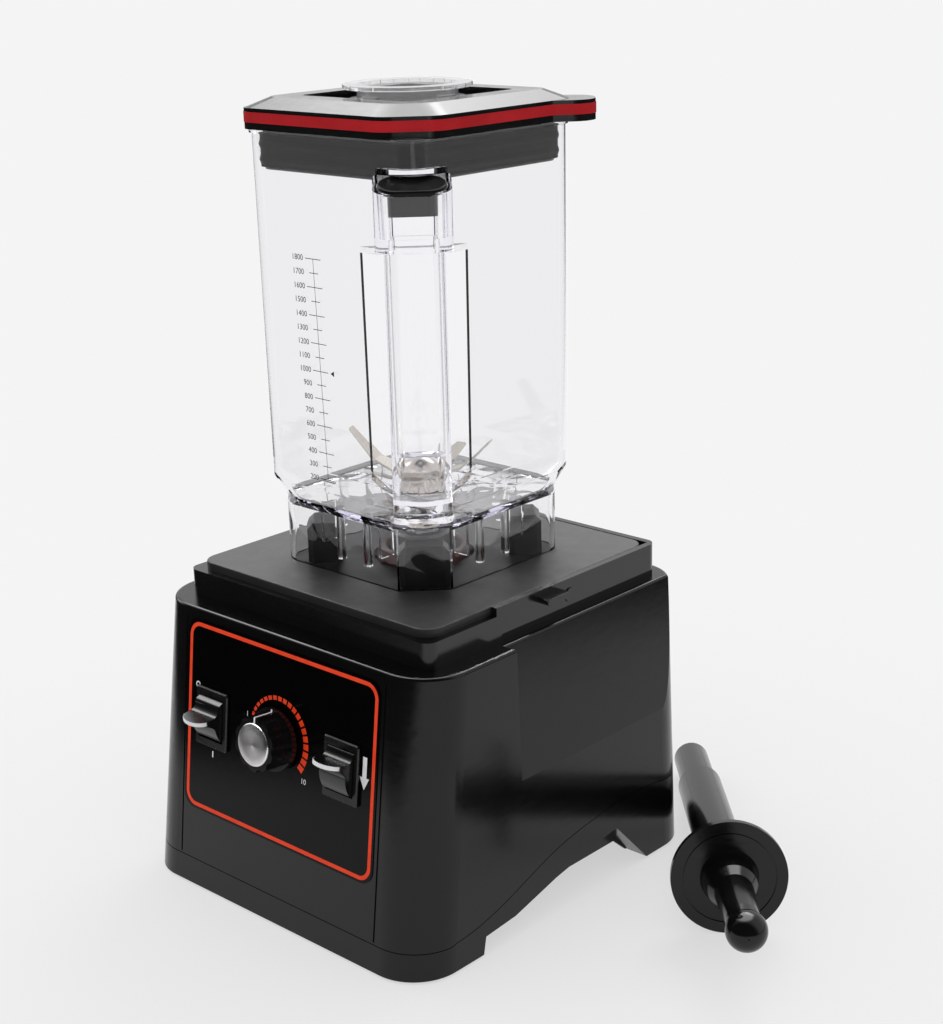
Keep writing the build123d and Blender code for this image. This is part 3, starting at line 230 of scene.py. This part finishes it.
cap_clear = clear("cap_clear_plastic", (0.6, 0.55, 0.9), 2.0, 0.03, 0.03)
cap_clear.b.inputs["Transmission Weight"].default_value = 0.8
red = Mat("band_red_gloss", (0.42, 0.012, 0.016), 0.30, Specular_IOR_Level=0.12)
red.color(red.noise(26.0, 4.0), [(0.3, (0.36, 0.009, 0.013)), (0.7, (0.48, 0.015, 0.020))])
red.rough(red.noise(90.0, 4.0), 0.26, 0.38)
red.bump(red.noise(200.0, 2.0), 0.05, 0.0004)
blade_steel = metal("blade_steel", (0.62, 0.58, 0.53), 0.20, (60, 1, 1), 60.0, 0.12)
steel = metal("shaft_steel", (0.55, 0.55, 0.56), 0.28)
alloy = metal("cast_alloy", (0.56, 0.56, 0.58), 0.42, (1, 1, 1), 400.0, 0.25)
iron = metal("core_iron", (0.22, 0.21, 0.20), 0.5, (1, 1, 300), 40.0, 0.4)
copper = metal("winding_copper", (0.62, 0.29, 0.14), 0.35, (1, 1, 200), 60.0, 0.5)
socket = metal("socket_sintered", (0.20, 0.20, 0.21), 0.5, (1, 1, 1), 900.0, 0.3)
ring_red = gloss_black("ring_plastic", 0.02, 0.4)
ring_red.color(ring_red.noise(20.0), [(0.3, (0.10, 0.012, 0.010)), (0.7, (0.16, 0.02, 0.016))])
part_plastic = gloss_black("part_plastic", 0.03, 0.45)
fan_plastic = rubber("fan_nylon", 0.62, 0.5, 600.0, (1.0, 0.98, 0.92))
board = rubber("board_laminate", 0.10, 0.4, 900.0, (0.4, 1.5, 0.7))
carbon = rubber("carbon", 0.04, 0.6)
button = gloss_black("button_red", 0.02, 0.25)
button.color(button.noise(20.0), [(0.3, (0.42, 0.02, 0.02)), (0.7, (0.5, 0.03, 0.025))])

assign(housing, "housing_shell", "bottom_pan")
assign(cover, "top_cover")
assign(panel, "control_label")
assign(switch, "power_switch", "pulse_switch")
assign(paddle, "power_paddle", "pulse_paddle")
assign(knob, "knob_body")
assign(mat_top, "top_mat")
assign(post, "post_fr", "post_rr", "post_rl", "post_fl")
assign(foot, "foot_fr", "foot_fl", "foot_rr", "foot_rl", "isolators")
assign(plug, "handle_plug")
assign(gasket, "lid_gasket")
assign(lid_black, "lid")
assign(red, "lid_band")
assign(jar_clear, "jar")
assign(cap_clear, "fill_cap")
assign(tamper, "tamper_rod", "tamper_disc", "tamper_grip")
assign(blade_steel, "lower_blade", "upper_blade", "blade_cone", "cap_nut")
assign(steel, "blade_shaft", "drive_hub", "motor_shaft", "jar_bearing", "upper_bearing",
       "lower_bearing", "pan_screws", "pot_shaft", "mounting_plate")
assign(alloy, "blade_housing", "upper_bracket", "lower_bracket", "heat_sink", "knob_cap")
assign(iron, "stator_core", "armature")
assign(copper, "field_coils", "commutator")
assign(socket, "drive_socket")
assign(ring_red, "drip_ring", "retaining_nut")
assign(part_plastic, "speed_pot", "breaker", "cord_gland")
assign(fan_plastic, "cooling_fan")
assign(board, "control_board")
assign(carbon, "brushes")
assign(button, "reset_button")

for o in nodes.values():
    smooth(o.data)

# ----------------------------------------------------------------- printed marks
class Face:
    """A flat frame on the object: points are (x, v) in millimetres, h is the height off the face."""

    def __init__(self, origin, xdir, vdir):
        self.o = Vector(origin) * MM
        self.x = Vector(xdir).normalized()
        self.v = Vector(vdir).normalized()
        self.n = self.x.cross(self.v).normalized()

    def at(self, x, v, h=0.0):
        return self.o + (self.x * x + self.v * v + self.n * h) * MM

    def matrix(self, x, v, h=0.0):
        p = self.at(x, v, h)
        return Matrix([(self.x[i], self.v[i], self.n[i], p[i]) for i in range(3)] + [(0, 0, 0, 1)])


def link(name, me, material, body):
    o = new_object(name, me)
    me.materials.clear()
    me.materials.append(material.m)
    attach(o, body)
    return o


def printed(name, face, polys, material, body, low=0.0, high=0.06):
    """Thin raised ink: each polygon of (x, v) points becomes a plate between two heights."""
    bm = bmesh.new()
    for poly in polys:
        vs = [bm.verts.new(face.at(x, v, high)) for x, v in poly]
        bm.faces.new(vs)
    bmesh.ops.remove_doubles(bm, verts=bm.verts, dist=1e-7)
    bm.normal_update()
    top = list(bm.faces)
    ext = bmesh.ops.extrude_face_region(bm, geom=top, use_keep_orig=True)
    moved = [e for e in ext["geom"] if isinstance(e, bmesh.types.BMVert)]
    for v in moved:
        v.co += face.n * (low - high) * MM
    bmesh.ops.recalc_face_normals(bm, faces=bm.faces)
    return link(name, new_mesh(name, bm), material, body)


def ring(cx, cv, r0, r1, a0=0.0, a1=360.0, steps=48):
    """Quads between two radii; angles in degrees, clockwise from twelve o'clock."""
    out = []
    for i in range(steps):
        q = []
        for a, r in ((i, r0), (i, r1), (i + 1, r1), (i + 1, r0)):
            t = math.radians(a0 + (a1 - a0) * a / steps)
            q.append((cx + r * math.sin(t), cv + r * math.cos(t)))
        out.append(q)
    return out


def round_rect(w, h, r, seg=10):
    pts = []
    for cx, cy, a0 in ((w / 2 - r, h / 2 - r, 0), (-w / 2 + r, h / 2 - r, 90),
                       (-w / 2 + r, -h / 2 + r, 180), (w / 2 - r, -h / 2 + r, 270)):
        for i in range(seg + 1):
            t = math.radians(a0 + 90 * i / seg)
            pts.append((cx + r * math.cos(t), cy + r * math.sin(t)))
    return pts


def numbers(name, face, items, size, material, body, h=0.02, depth=0.02):
    """Plain numbers: items are (text, x, v, align)."""
    bm = bmesh.new()
    for text, x, v, align in items:
        c = bpy.data.curves.new("t", "FONT")
        c.body, c.size, c.align_x, c.align_y = text, size * MM, align, "CENTER"
        c.extrude = depth * MM
        c.resolution_u = 3
        t = new_object("t", c)
        bpy.context.view_layer.update()
        me = bpy.data.meshes.new_from_object(t.evaluated_get(bpy.context.evaluated_depsgraph_get()))
        me.transform(face.matrix(x, v, h + depth))
        bm.from_mesh(me)
        bpy.data.objects.remove(t)
        bpy.data.curves.remove(c)
        bpy.data.meshes.remove(me)
    return link(name, new_mesh(name, bm), material, body)


ink_orange = Mat("ink_orange", (0.86, 0.055, 0.012), 0.4, Specular_IOR_Level=0.15)
ink_orange.color(ink_orange.noise(120.0), [(0.3, (0.80, 0.045, 0.010)), (0.7, (0.90, 0.065, 0.015))])
ink_orange.rough(ink_orange.noise(300.0), 0.28, 0.42)
ink_white = Mat("ink_white", (0.80, 0.80, 0.82), 0.4, Specular_IOR_Level=0.2)
ink_white.color(ink_white.noise(150.0), [(0.3, (0.74, 0.74, 0.77)), (0.7, (0.84, 0.84, 0.85))])
ink_white.rough(ink_white.noise(300.0), 0.34, 0.5)
ink_black = Mat("ink_black", (0.02, 0.02, 0.022), 0.4)
ink_black.color(ink_black.noise(400.0, 4.0), [(0.35, (0.012, 0.012, 0.014)), (0.7, (0.05, 0.05, 0.055))])

fascia = Face((0, -124.30, 111.5), (1, 0, 0), (0, 0.12194, 0.99254))
film, ink = 0.5, 0.06       # thickness of the panel film and of the ink on it
outer, inner = round_rect(159.6, 115.6, 9.0), round_rect(154.8, 110.8, 6.6)
cx, cv = -0.6, -1.9
frame_quads = [[(outer[i][0] + cx, outer[i][1] + cv), (outer[j][0] + cx, outer[j][1] + cv),
                (inner[j][0] + cx, inner[j][1] + cv), (inner[i][0] + cx, inner[i][1] + cv)]
               for i in range(len(outer)) for j in [(i + 1) % len(outer)]]
printed("panel_border", fascia, frame_quads, ink_orange, "base", film, film + ink)

blocks = []
count, a, knob_v = 19, -71.0, 3.7      # blocks, start angle, height of the knob's axis
dial_r, gap = 23.6, 2.9
for i in range(count):
    f = i / (count - 1)
    span = 6.4 + 2.6 * f
    deep = 1.9 + 2.6 * f ** 1.2
    blocks += ring(0, knob_v, dial_r - deep / 2, dial_r + deep / 2, a, a + span, 3)
    a += span + gap
printed("dial_blocks", fascia, blocks, ink_orange, "base", film, film + ink)
printed("off_mark", fascia, ring(-72.0, 17.4, 1.25, 2.0, steps=24), ink_white, "base",
        film, film + ink)
printed("on_mark", fascia, [[(-57.5, -24.6), (-56.5, -24.6), (-56.5, -20.8), (-57.5, -20.8)]],
        ink_white, "base", film, film + ink)
ax, tail, tip, barb = 71.2, 12.6, -6.6, 7.2
printed("pulse_arrow", fascia,
        [[(ax - 1.6, tail), (ax - 1.6, tip + barb), (ax - 3.7, tip + barb), (ax, tip),
          (ax + 3.7, tip + barb), (ax + 1.6, tip + barb), (ax + 1.6, tail)]],
        ink_white, "base", film, film + ink)
numbers("dial_numbers", fascia, [("1", -27.0, 11.0, "CENTER"), ("10", 22.5, -16.5, "CENTER")],
        4.6, ink_white, "base", film, 0.03)


def strip(name, face, path, width, thick, material, body):
    """A thin painted line that follows (x, v, h) points on the face frame."""
    bm = bmesh.new()
    rows = []
    for i, (x, v, h) in enumerate(path):
        p = face.at(x, v, h)
        before = face.at(*path[max(i - 1, 0)])
        after = face.at(*path[min(i + 1, len(path) - 1)])
        along = (after - before).normalized()
        side = face.x
        up = side.cross(along).normalized()
        if up.dot(face.v + face.n) < 0:
            up = -up
        w = side * width * MM / 2
        t = up * thick * MM
        rows.append([bm.verts.new(q) for q in (p - w, p + w, p + w + t, p - w + t)])
    skin(bm, rows)
    return link(name, new_mesh(name, bm), material, body)


# white pointer: along one ridge of the knob, over its skirt and up to the metal cap
strip("knob_pointer", fascia,
      [(0, knob_v + 12.85, 19.0), (0, knob_v + 16.0, 19.0), (0, knob_v + 16.25, 18.6),
       (0, knob_v + 16.66, 6.6), (0, knob_v + 16.9, 6.22), (0, knob_v + 18.4, 6.22)],
      1.1, 0.14, ink_white, "knob")

# brushed disc of the knob, with its own turned grooves
bm = bmesh.new()
segs, centre_h = 96, 20.30
profile = [(0.6, 20.24), (4.0, 20.16), (8.0, 20.12), (11.7, 20.10), (12.25, 19.95), (12.62, 19.55),
           (12.68, 18.6)]                  # radius and height of each ring of the disc
prev = [bm.verts.new((0, 0, centre_h * MM))]
for rr, hh in profile:
    cur = [bm.verts.new((rr * MM * math.cos(2 * math.pi * i / segs),
                         rr * MM * math.sin(2 * math.pi * i / segs), hh * MM)) for i in range(segs)]
    for i in range(segs):
        j = (i + 1) % segs
        if len(prev) == 1:
            bm.faces.new((prev[0], cur[i], cur[j]))
        else:
            bm.faces.new((prev[i], cur[i], cur[j], prev[j]))
    prev = cur
bm.faces.new(prev[::-1])
bmesh.ops.recalc_face_normals(bm, faces=bm.faces)
for f in bm.faces:
    f.smooth = True
disc = mesh_object("knob_disc", bm)
disc_metal = Mat("spun_aluminium", (0.88, 0.86, 0.85), 0.28, Metallic=1.0, Anisotropic=0.9,
                 Anisotropic_Rotation=0.25)
tangent = disc_metal.node("ShaderNodeTangent", direction_type="RADIAL", axis="Z")
disc_metal.l.new(tangent.outputs[0], disc_metal.b.inputs["Tangent"])
grooves = disc_metal.node("ShaderNodeTexWave", wave_type="RINGS", rings_direction="Z")
grooves.inputs["Scale"].default_value = 900.0
grooves.inputs["Distortion"].default_value = 1.5
grooves.inputs["Detail"].default_value = 3.0
disc_metal.l.new(disc_metal.coord, grooves.inputs["Vector"])
disc_metal.rough(grooves.outputs["Fac"], 0.22, 0.34)
disc_metal.bump(grooves.outputs["Fac"], 0.06, 0.00005)
disc.data.materials.append(disc_metal.m)
disc.matrix_world = fascia.matrix(0, knob_v)
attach(disc, "knob")
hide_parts("knob_cap")

# white painted ends of the two paddles, round in plan like the lips
lip_half, lip_round, lip_end = 10.5, 6.5, 19.0
lip_top, lip_fall, lip_thick = 5.9, 0.9, 2.5   # upper side at its root, drop to the end, thickness
lip_root, lip_reach = 9.8, 9.2                 # height of the root off the panel, length to the end
pivot_h, paint = 3.0, 0.04                     # the paddle's axis behind the panel, coat of paint
for nm, pivot_x, turn in (("power", -57.0, 8.0), ("pulse", 54.0, -8.0)):
    c, sn = math.cos(math.radians(turn)), math.sin(math.radians(turn))
    bm = bmesh.new()
    cols = []
    for i in range(33):
        t = math.radians(14 + 152 * i / 32)
        x, h = lip_half * math.cos(t), lip_end - lip_round + lip_round * math.sin(t)
        out = Vector((math.cos(t) / lip_half, math.sin(t) / lip_round)).normalized()
        hi = lip_top - lip_fall * (h - lip_root) / lip_reach + paint
        lo = hi - lip_thick
        col = []
        for v, o in ((lo, -0.3), (lo + 0.12, 0.16), (lo + 0.5, 0.26), (hi - 0.5, 0.26),
                     (hi - 0.12, 0.16), (hi, -0.3)):
            hh = h + out.y * o + pivot_h
            col.append(bm.verts.new(fascia.at(pivot_x + x + out.x * o, v * c - hh * sn,
                                              v * sn + hh * c - pivot_h)))
        cols.append(col)
    skin(bm, cols)
    for f in bm.faces:
        f.smooth = True
    link(nm + "_tip", new_mesh(nm + "_tip", bm), ink_white, nm + "_rocker")


def apply(target):
    """Keep what the modifiers make in the target's mesh."""
    bpy.context.view_layer.update()
    me = bpy.data.meshes.new_from_object(target.evaluated_get(bpy.context.evaluated_depsgraph_get()))
    target.modifiers.clear()
    target.data = me


def cut(target, tool):
    """Take one closed mesh from another."""
    mod = target.modifiers.new("cut", "BOOLEAN")
    mod.operation, mod.solver, mod.object = "DIFFERENCE", "EXACT", tool
    apply(target)
    bpy.data.objects.remove(tool)


# the jar, with its inside carried on into the corner below the arched recess
jar_floor, arch_z, arch_r = 236.0, 289.7, 39.7     # part.py: bowl_z, cut_z, cut_r + jar_wall
wall_d, wall_half = 62.0, 63.0                     # where the hollow starts, half width of the inside
corner = Face((0, 0, 0), (math.sqrt(0.5), math.sqrt(0.5), 0), (0, 0, 1))   # x runs across the corner
bm = bmesh.new()
rows = []
for z, r in ((jar_floor + 3.2, 26.0), (jar_floor + 13.0, 11.0), (jar_floor + 27.0, 11.0)):
    middle, far_end = math.sqrt(2) * (wall_half - r), math.sqrt(2) * wall_half - wall_d
    pts = [(-far_end, wall_d)]
    pts += [(r * math.sin(a), middle + r * math.cos(a)) for a in
            (math.radians(-45 + 7.5 * i) for i in range(13))]
    pts += [(far_end, wall_d)]
    rows.append([bm.verts.new(corner.at(t, z, d)) for t, d in pts])
skin(bm, rows)
hollow = mesh_object("corner_hollow", bm)
bm = bmesh.new()
ends = []
for d in (wall_d - 10, wall_d + 40):
    ends.append([bm.verts.new(corner.at(arch_r * math.sin(a), arch_z + arch_r * math.cos(a), d))
                 for a in (2 * math.pi * i / 96 for i in range(96))])
skin(bm, ends)
cut(hollow, mesh_object("arch", bm))
bm = bmesh.new()
bm.from_mesh(nodes["jar"].data)
bmesh.ops.remove_doubles(bm, verts=bm.verts, dist=3e-6)
jar = mesh_object("jar_body", bm)
jar.data.attributes.remove(jar.data.attributes["custom_normal"])
jar.data.materials.append(jar_clear.m)
hollow.data.materials.append(jar_clear.m)
cut(jar, hollow)
smooth(jar.data)
flat = jar.modifiers.new("flat", "WEIGHTED_NORMAL")
flat.keep_sharp, flat.weight, flat.mode = True, 100, "FACE_AREA"
apply(jar)
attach(jar, "jar")
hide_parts("jar")

# the jar's volume scale, on its front face
slope, face_z = 1.0 / 209.6, 240.0     # lean of the jar's front face, height of its frame's origin
jar_face = Face((0, -66.0, face_z), (1, 0, 0), (0, -slope, 1.0))
z_top, z_bot, x_top, x_bot = 382.6, 254.2, -13.0, -9.9
stem, tick = 0.15, 0.2                 # half widths of the upright line and of a mark


def scale_x(z):
    return x_bot + (x_top - x_bot) * (z - z_bot) / (z_top - z_bot)


lines = [[(scale_x(z_bot) - stem, z_bot - face_z), (scale_x(z_bot) + stem, z_bot - face_z),
          (scale_x(z_top) + stem, z_top - face_z), (scale_x(z_top) - stem, z_top - face_z)]]
labels = []
for k in range(17):
    value = 200 + 100 * k
    z = z_bot + (z_top - z_bot) * k / 16
    half = 6.3 if value % 200 == 0 else 3.6
    x, v = scale_x(z), z - face_z
    lines.append([(x - half, v - tick), (x + half, v - tick),
                  (x + half, v + tick), (x - half, v + tick)])
    labels.append((str(value), x - 8.0, v, "RIGHT"))
z = (z_bot + z_top) / 2                # small triangle at 1000
x, v = scale_x(z), z - face_z
lines.append([(x + 8.2, v), (x + 11.0, v + 1.6), (x + 11.0, v - 1.6)])
printed("jar_scale_lines", jar_face, lines, ink_black, "jar", 0.02, 0.06)
numbers("jar_scale_numbers", jar_face, labels, 4.7, ink_black, "jar")

# ------------------------------------------------------------------------ stage
def stage_plane(name, size, loc):
    bm = bmesh.new()
    bmesh.ops.create_grid(bm, x_segments=2, y_segments=2, size=0.5)
    o = mesh_object(name, bm)
    o.scale = (size[0], size[1], 1)
    o.location = loc
    return o


class Graph:
    """Short calls for the node trees of the stage, where each kind of ray sees its own thing."""

    def __init__(self, tree):
        self.n, self.l = tree.nodes, tree.links
        self.n.clear()
        self.path = self.n.new("ShaderNodeLightPath")

    def math(self, op, a, b=0.0):
        x = self.n.new("ShaderNodeMath")
        x.operation = op
        for i, v in enumerate((a, b)):
            if isinstance(v, (int, float)):
                x.inputs[i].default_value = v
            else:
                self.l.new(v, x.inputs[i])
        return x.outputs[0]

    def vmath(self, op, a, b=(0, 0, 0)):
        x = self.n.new("ShaderNodeVectorMath")
        x.operation = op
        self.l.new(a, x.inputs[0])
        x.inputs[1].default_value = b
        return x.outputs["Value"]

    def step(self, v, a, b, lo=0.0, hi=1.0):
        x = self.n.new("ShaderNodeMapRange")
        x.interpolation_type = "SMOOTHSTEP"
        for k, w in zip(("From Min", "From Max", "To Min", "To Max"), (a, b, lo, hi)):
            x.inputs[k].default_value = w
        self.l.new(v, x.inputs["Value"])
        return x.outputs["Result"]

    def light(self, kind, color, strength=1.0):
        x = self.n.new(kind)
        x.inputs["Color"].default_value = (*color, 1)
        x.inputs["Strength"].default_value = strength
        return x.outputs[0]

    def mix(self, fac, a, b):
        x = self.n.new("ShaderNodeMixShader")
        self.l.new(fac, x.inputs[0])
        self.l.new(a, x.inputs[1])
        self.l.new(b, x.inputs[2])
        return x.outputs[0]

    def mirror(self):
        """Reflections alone: light that comes through the clear plastic also counts as glossy."""
        through = self.math("SUBTRACT", 1.0, self.path.outputs["Is Transmission Ray"])
        return self.math("MULTIPLY", self.path.outputs["Is Glossy Ray"], through)

    def seen(self):
        """All that shows: straight, through the clear plastic and in reflections."""
        straight, through, glossy = (self.path.outputs["Is %s Ray" % k]
                                     for k in ("Camera", "Transmission", "Glossy"))
        return self.math("MAXIMUM", self.math("MAXIMUM", straight, through), glossy)


# pale floor: lit near the object, plain white far away; two dark areas show in mirrors only
floor = stage_plane("floor", (80.0, 80.0), (0.0, 0.0, 0.0))
fm = bpy.data.materials.new("floor_white")
fm.use_nodes = True
g = Graph(fm.node_tree)
soft = g.n.new("ShaderNodeBsdfDiffuse")
soft.inputs["Color"].default_value = (0.90, 0.90, 0.91, 1)
place = g.n.new("ShaderNodeNewGeometry").outputs["Position"]
far = g.step(g.vmath("LENGTH", place), 0.10, 0.70, 0.62, 1.0)
white = g.light("ShaderNodeEmission", (0.905, 0.905, 0.912))
shown = g.mix(g.math("MULTIPLY", far, g.seen()), soft.outputs[0], white)
front_left = g.step(g.vmath("DOT_PRODUCT", place, (-0.62, -0.78, 0.0)), 0.34, 0.52)
dark = g.light("ShaderNodeEmission", (0.012, 0.012, 0.013))
right_back = g.step(g.vmath("DOT_PRODUCT", place, (0.68, 0.73, 0.0)), 0.75, 1.05)
unlit = g.math("MAXIMUM", front_left, right_back)
shown = g.mix(g.math("MULTIPLY", unlit, g.mirror()), shown, dark)
g.l.new(shown, g.n.new("ShaderNodeOutputMaterial").inputs["Surface"])
floor.data.materials.append(fm)

# studio: plain white to the eye, a dark front and an overhead softbox for mirrors, even fill light
world = bpy.data.worlds.new("studio")
bpy.context.scene.world = world
world.use_nodes = True
g = Graph(world.node_tree)
way = g.n.new("ShaderNodeTexCoord").outputs["Generated"]
behind = g.step(g.vmath("DOT_PRODUCT", way, (-0.30, 0.95, 0.10)), -0.35, 0.15)
bright = g.light("ShaderNodeBackground", (0.92, 0.92, 0.925))
front = g.mix(g.mirror(), bright, g.light("ShaderNodeBackground", (0.02, 0.02, 0.022)))
room = g.mix(behind, front, bright)
overhead = g.light("ShaderNodeBackground", (1.0, 1.0, 1.0), 6.0)
up_back = g.step(g.vmath("DOT_PRODUCT", way, (-0.33, 0.25, 0.91)), 0.80, 0.90)
room = g.mix(g.math("MULTIPLY", up_back, g.mirror()), room, overhead)
lit = g.light("ShaderNodeBackground", (1.0, 1.0, 1.0), 0.78)
g.l.new(g.mix(g.seen(), lit, room), g.n.new("ShaderNodeOutputWorld").inputs["Surface"])


def area(name, size, loc, target, power):
    d = bpy.data.lights.new(name, "AREA")
    d.shape = "RECTANGLE"
    d.size, d.size_y = size
    d.energy = power
    o = new_object(name, d)
    o.location = loc
    o.rotation_euler = (Vector(target) - Vector(loc)).to_track_quat("-Z", "Y").to_euler()


area("back_soft", (1.3, 0.8), (-0.35, 1.5, 1.75), (0, 0, 0.35), 9)
area("left_soft", (0.5, 1.2), (-1.5, -0.2, 1.0), (0, 0, 0.25), 4)

# camera, fitted to edges of the object in the photograph
cam_data = bpy.data.cameras.new("camera")
cam_data.lens = 64.84
cam_data.sensor_width = 36.0
cam_data.clip_end = 50
cam = new_object("camera", cam_data)
right = (0.73667565, 0.67578972, -0.02484439)
up = (-0.18856774, 0.24056096, 0.95214108)
back = (0.64942375, -0.69673429, 0.30464754)
spot = (0.746458, -0.757079, 0.559386)
cam.matrix_world = Matrix([(right[i], up[i], back[i], spot[i]) for i in range(3)] + [(0, 0, 0, 1)])
bpy.context.scene.camera = cam
bpy.context.scene.view_settings.view_transform = "Standard"
# the jar, the handle and the cap stand one behind the other: many clear walls in a row
cycles = bpy.context.scene.cycles
cycles.glossy_bounces, cycles.transmission_bounces, cycles.max_bounces = 12, 24, 24
